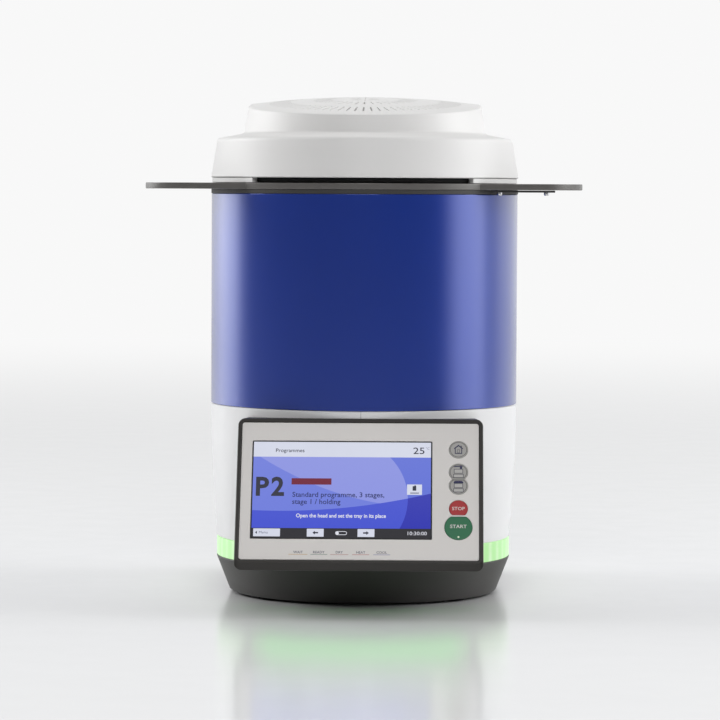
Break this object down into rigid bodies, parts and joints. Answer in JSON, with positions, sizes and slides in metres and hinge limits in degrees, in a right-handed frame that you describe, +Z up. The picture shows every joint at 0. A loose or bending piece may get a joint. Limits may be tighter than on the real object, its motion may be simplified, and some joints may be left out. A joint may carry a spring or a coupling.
{
  "type": "dental lab furnace",
  "caption": "Bench-top dental furnace: round-fronted housing, leaning touch panel with keys, cooling plate with two wings, status light ring and a lifting insulated head.",
  "frame": {"origin": "on the bench under the middle of the furnace, on the axis of the firing chamber", "axes": "+Z up, the control panel faces -Y, +X to the right seen from the front"},
  "size_m": [0.3946, 0.4249, 0.4551],
  "materials": {
    "base_tray": "dark grey textured moulding",
    "rubber": "black rubber",
    "status_light": "translucent plastic lit green from inside",
    "led_strip": "white flexible strip with small lamps",
    "white_paint": "white satin paint",
    "head_white": "white satin moulding",
    "galvanised": "plain zinc-plated sheet",
    "black_plastic": "black moulded plastic",
    "steel": "bright steel",
    "board": "green circuit board",
    "blue_paint": "deep blue metallic paint, satin",
    "ceramic": "off-white ceramic fibre",
    "element": "grey heating rod",
    "collar": "dark grey satin paint",
    "plate": "dark grey heat-resistant coating",
    "bronze": "bearing bronze",
    "panel_frame": "dark warm grey moulding",
    "fascia": "light warm grey film over a plate",
    "display": "glossy lit display",
    "grey_key": "grey membrane key",
    "red_key": "red membrane key",
    "green_key": "green membrane key"
  },
  "bodies": {
    "furnace_body": {"base_tray": "base_tray", "foot_front_left": "rubber", "foot_front_right": "rubber", "foot_rear_left": "rubber", "foot_rear_right": "rubber", "status_light_ring": "status_light", "led_strip": "led_strip", "lower_housing_left": "white_paint", "lower_housing_right": "white_paint", "rear_panel": "galvanised", "power_inlet": "black_plastic", "vacuum_connector": "steel", "service_port": "steel", "fan_housing": "black_plastic", "chassis_plate": "galvanised", "power_supply": "galvanised", "power_board": "board", "control_board": "board", "chamber_shelf": "galvanised", "upper_jacket": "blue_paint", "insulation_floor": "ceramic", "insulation_wall": "ceramic", "heating_element": "element", "firing_table": "ceramic", "thermocouple": "steel", "body_collar": "collar", "cooling_plate": "plate", "tray_bracket": "collar", "chamber_mouth_ring": "ceramic", "lift_frame": "galvanised", "spindle_bearing": "steel", "guide_rod_left": "steel", "guide_rod_right": "steel", "lift_motor": "black_plastic", "panel_housing": "panel_frame", "panel_fascia": "fascia", "display_glass": "display", "display_module": "galvanised", "key_switch_board": "board"},
    "lifting_head": {"head_shell": "head_white", "head_base_ring": "head_white", "head_gasket": "rubber", "head_carrier": "galvanised", "head_insulation_plug": "ceramic", "head_baffle": "galvanised", "lift_column": "steel", "lift_carriage": "galvanised", "guide_bush_left": "bronze", "guide_bush_right": "bronze", "spindle_nut": "bronze"},
    "lift_screw": {"lift_spindle": "steel", "motor_coupling": "steel"},
    "fan_wheel": {"fan_rotor": "black_plastic"},
    "switch_rocker": {"power_switch_rocker": "black_plastic"},
    "home_button": {"home_key": "grey_key"},
    "open_button": {"head_open_key": "grey_key"},
    "close_button": {"head_close_key": "grey_key"},
    "stop_button": {"stop_key": "red_key"},
    "start_button": {"start_key": "green_key"}
  },
  "joints": [
    {"name": "head_lift", "type": "slide", "parent": "furnace_body", "child": "lifting_head", "axis": [0, 0, 1], "range_m": [0, 0.08]},
    {"name": "lift_screw_spin", "type": "hinge", "parent": "furnace_body", "child": "lift_screw", "pos_m": [0, 0.165, 0.25], "axis": [0, 0, 1], "continuous": true},
    {"name": "fan_spin", "type": "hinge", "parent": "furnace_body", "child": "fan_wheel", "pos_m": [-0.04, 0.185, 0.113], "axis": [0, 1, 0], "continuous": true},
    {"name": "power_switch_tilt", "type": "hinge", "parent": "furnace_body", "child": "switch_rocker", "pos_m": [0.0615, 0.1978, 0.093], "axis": [1, 0, 0], "range_deg": [0, 14]},
    {"name": "home_key_press", "type": "slide", "parent": "furnace_body", "child": "home_button", "axis": [0, 0.859, -0.512], "range_m": [0, 0.0005], "stiffness_N_per_m": 1500},
    {"name": "head_open_key_press", "type": "slide", "parent": "furnace_body", "child": "open_button", "axis": [0, 0.859, -0.512], "range_m": [0, 0.0005], "stiffness_N_per_m": 1500},
    {"name": "head_close_key_press", "type": "slide", "parent": "furnace_body", "child": "close_button", "axis": [0, 0.859, -0.512], "range_m": [0, 0.0005], "stiffness_N_per_m": 1500},
    {"name": "stop_key_press", "type": "slide", "parent": "furnace_body", "child": "stop_button", "axis": [0, 0.859, -0.512], "range_m": [0, 0.0005], "stiffness_N_per_m": 1500},
    {"name": "start_key_press", "type": "slide", "parent": "furnace_body", "child": "start_button", "axis": [0, 0.859, -0.512], "range_m": [0, 0.0005], "stiffness_N_per_m": 1500}
  ],
  "couplings": [
    {"joint": "lift_screw_spin", "follows": "head_lift", "rad_per_m": 785.4}
  ]
}
